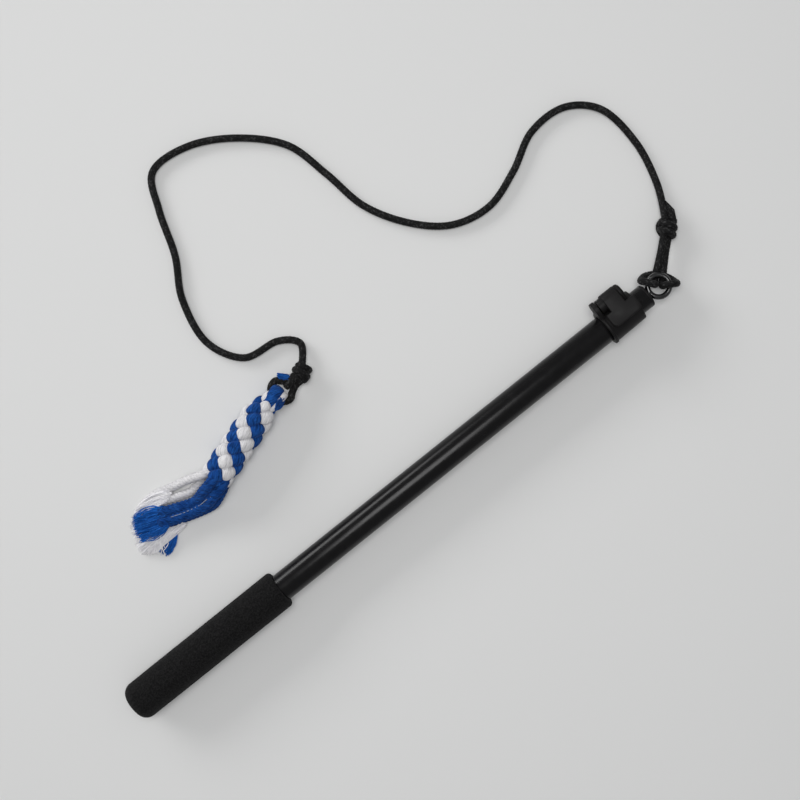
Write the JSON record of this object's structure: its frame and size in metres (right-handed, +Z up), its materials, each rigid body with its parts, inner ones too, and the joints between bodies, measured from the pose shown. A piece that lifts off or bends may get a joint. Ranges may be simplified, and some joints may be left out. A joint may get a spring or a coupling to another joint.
{
  "type": "dog flirt pole",
  "caption": "Telescoping pole with a foam grip, a flip-lever clamp and an eye, and a braided cord hitched to the eye that carries a braided rope lure for a dog to chase.",
  "frame": {"origin": "on the pole's axis at the middle of the foam grip", "axes": "+X along the pole towards its tip, +Z up from the surface that it lies on"},
  "size_m": [0.6539, 0.3789, 0.0365],
  "materials": {
    "foam": "matte",
    "tube": "satin",
    "plastic": "matte",
    "guide_plastic": "matte",
    "fastener": "satin",
    "eye_steel": "gloss",
    "cord": "braided",
    "blue_rope": "twisted cotton",
    "white_rope": "twisted cotton",
    "mixed_rope": "braided cotton"
  },
  "bodies": {
    "handle": {"foam_grip": "foam", "butt_plug": "plastic", "outer_tube": "tube", "clamp_collar": "plastic", "collar_rivet": "fastener", "lever_pin": "fastener"},
    "lever": {"clamp_lever": "plastic"},
    "extension": {"rear_bush": "guide_plastic", "inner_tube": "tube", "tip_cap": "plastic", "tip_rivet": "fastener", "tip_eye": "eye_steel", "eye_washer": "fastener", "eye_nut": "fastener"},
    "lure_line": {"hitch_loop": "cord", "top_knot": "cord", "cord_tail": "cord", "cord_run": "cord", "toy_knot": "cord", "toy_loop": "cord", "toy_fold_blue": "blue_rope", "toy_fold_white": "white_rope", "toy_braid": "mixed_rope", "toy_tail_white_1": "white_rope", "toy_tail_white_2": "white_rope", "toy_tail_white_3": "white_rope", "toy_tail_blue_1": "blue_rope", "toy_tail_blue_2": "blue_rope", "toy_tail_blue_3": "blue_rope"}
  },
  "joints": [
    {"name": "pole_extend", "type": "slide", "parent": "handle", "child": "extension", "axis": [1, 0, 0], "range_m": [0, 0.3]},
    {"name": "lever_flip", "type": "hinge", "parent": "handle", "child": "lever", "pos_m": [0.46, 0.01765, 0.01072], "axis": [-1, 0, 0], "range_deg": [0, 110]},
    {"name": "cord_swing", "type": "hinge", "parent": "extension", "child": "lure_line", "pos_m": [0.5027, 0, 0], "axis": [0, 0, 1], "range_deg": [-80, 0]}
  ]
}
